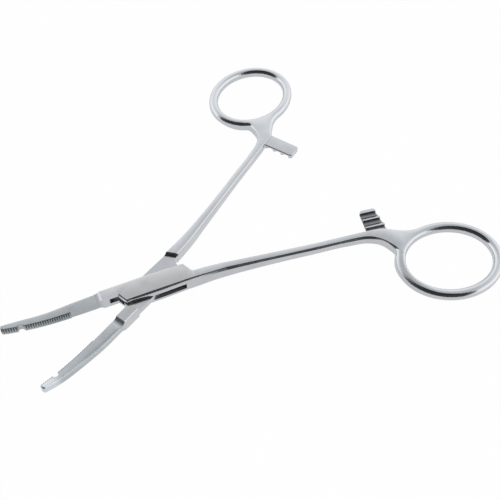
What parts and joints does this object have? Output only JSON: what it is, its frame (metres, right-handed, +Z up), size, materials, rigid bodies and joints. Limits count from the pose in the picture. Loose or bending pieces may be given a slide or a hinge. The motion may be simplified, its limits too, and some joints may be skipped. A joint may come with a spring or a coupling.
{
  "type": "hemostat forceps",
  "caption": "Ring-handled locking forceps with curved, half-serrated jaws, a box-lock pivot and a ratchet, used to clamp blood vessels or tubing.",
  "frame": {"origin": "on the pivot's axis, at the flat underside of the box lock", "axes": "+X along the line half-way between the two shanks, towards the finger rings; +Y towards the male half's ring; +Z up along the pivot pin, the way the jaws curve"},
  "size_m": [0.1296, 0.1188, 0.0062],
  "materials": {
    "satin_steel_female": "satin stainless steel with polished edges",
    "satin_steel_male": "satin stainless steel with polished edges",
    "pin_steel": "ground flush with the box lock"
  },
  "bodies": {
    "female": {"female_half": "satin_steel_female", "pivot_pin": "pin_steel"},
    "male": {"male_half": "satin_steel_male"}
  },
  "joints": [
    {"name": "pivot", "type": "hinge", "parent": "female", "child": "male", "pos_m": [0, 0, 0], "axis": [0, 0, 1], "range_deg": [-29.7, 30.3]}
  ]
}
